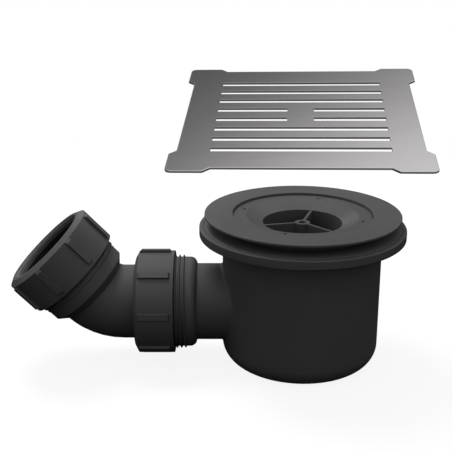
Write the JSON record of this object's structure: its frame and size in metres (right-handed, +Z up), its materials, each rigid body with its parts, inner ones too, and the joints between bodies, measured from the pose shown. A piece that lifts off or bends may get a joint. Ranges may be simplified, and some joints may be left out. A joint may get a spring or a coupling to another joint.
{
  "type": "shower waste",
  "caption": "Round trap cup with a screw-in clamp flange, dip-tube insert and swivel elbow outlet with ribbed nuts, under a slotted square grate; drains a shower tray.",
  "frame": {"origin": "centre of the underside of the trap cup", "axes": "+Z up the axis of the cup towards the shower tray, -X along the outlet spigot"},
  "size_m": [0.2207, 0.1311, 0.1511],
  "materials": {
    "black_plastic": "smooth moulded black, low sheen",
    "washer_plastic": "smooth moulded dark grey",
    "seal_rubber": "matt black rubber",
    "grate_steel": "stainless sheet, brushed along its slots"
  },
  "bodies": {
    "trap": {"trap_body": "black_plastic", "tray_gasket": "seal_rubber", "grate": "grate_steel"},
    "flange_ring": {"flange_gasket": "seal_rubber"},
    "flange": {"clamp_flange": "black_plastic", "siphon_insert": "black_plastic", "insert_o_ring": "seal_rubber"},
    "coupling_ring": {"coupling_washer": "washer_plastic"},
    "coupling_grip": {"coupling_nut": "black_plastic"},
    "elbow": {"outlet_elbow": "black_plastic", "coupling_seal": "seal_rubber", "outlet_seal": "seal_rubber"},
    "outlet_ring": {"outlet_washer": "washer_plastic"},
    "outlet_grip": {"outlet_nut": "black_plastic"}
  },
  "joints": [
    {"name": "flange_lift", "type": "slide", "parent": "trap", "child": "flange_ring", "axis": [0, 0, 1], "range_m": [-0.0036, 0.0076]},
    {"name": "flange_turn", "type": "hinge", "parent": "flange_ring", "child": "flange", "pos_m": [0, 0, 0.08], "axis": [0, 0, 1], "range_deg": [-430, 900]},
    {"name": "coupling_slide", "type": "slide", "parent": "trap", "child": "coupling_ring", "axis": [-1, 0, 0], "range_m": [0, 0.007]},
    {"name": "coupling_turn", "type": "hinge", "parent": "coupling_ring", "child": "coupling_grip", "pos_m": [-0.082, 0, 0.0325], "axis": [-1, 0, 0], "range_deg": [0, 1080]},
    {"name": "elbow_swivel", "type": "hinge", "parent": "trap", "child": "elbow", "pos_m": [-0.082, 0, 0.0325], "axis": [-1, 0, 0], "continuous": true},
    {"name": "outlet_slide", "type": "slide", "parent": "elbow", "child": "outlet_ring", "axis": [-0.682, -0.0459, 0.7299], "range_m": [0, 0.0116]},
    {"name": "outlet_turn", "type": "hinge", "parent": "outlet_ring", "child": "outlet_grip", "pos_m": [-0.13231, -0.00173, 0.06002], "axis": [-0.682, -0.0459, 0.7299], "range_deg": [0, 1800]}
  ],
  "couplings": [
    {"joint": "flange_lift", "follows": "flange_turn", "m_per_rad": 0.00047746},
    {"joint": "coupling_slide", "follows": "coupling_turn", "m_per_rad": 0.00036606},
    {"joint": "outlet_slide", "follows": "outlet_turn", "m_per_rad": 0.00036606}
  ]
}
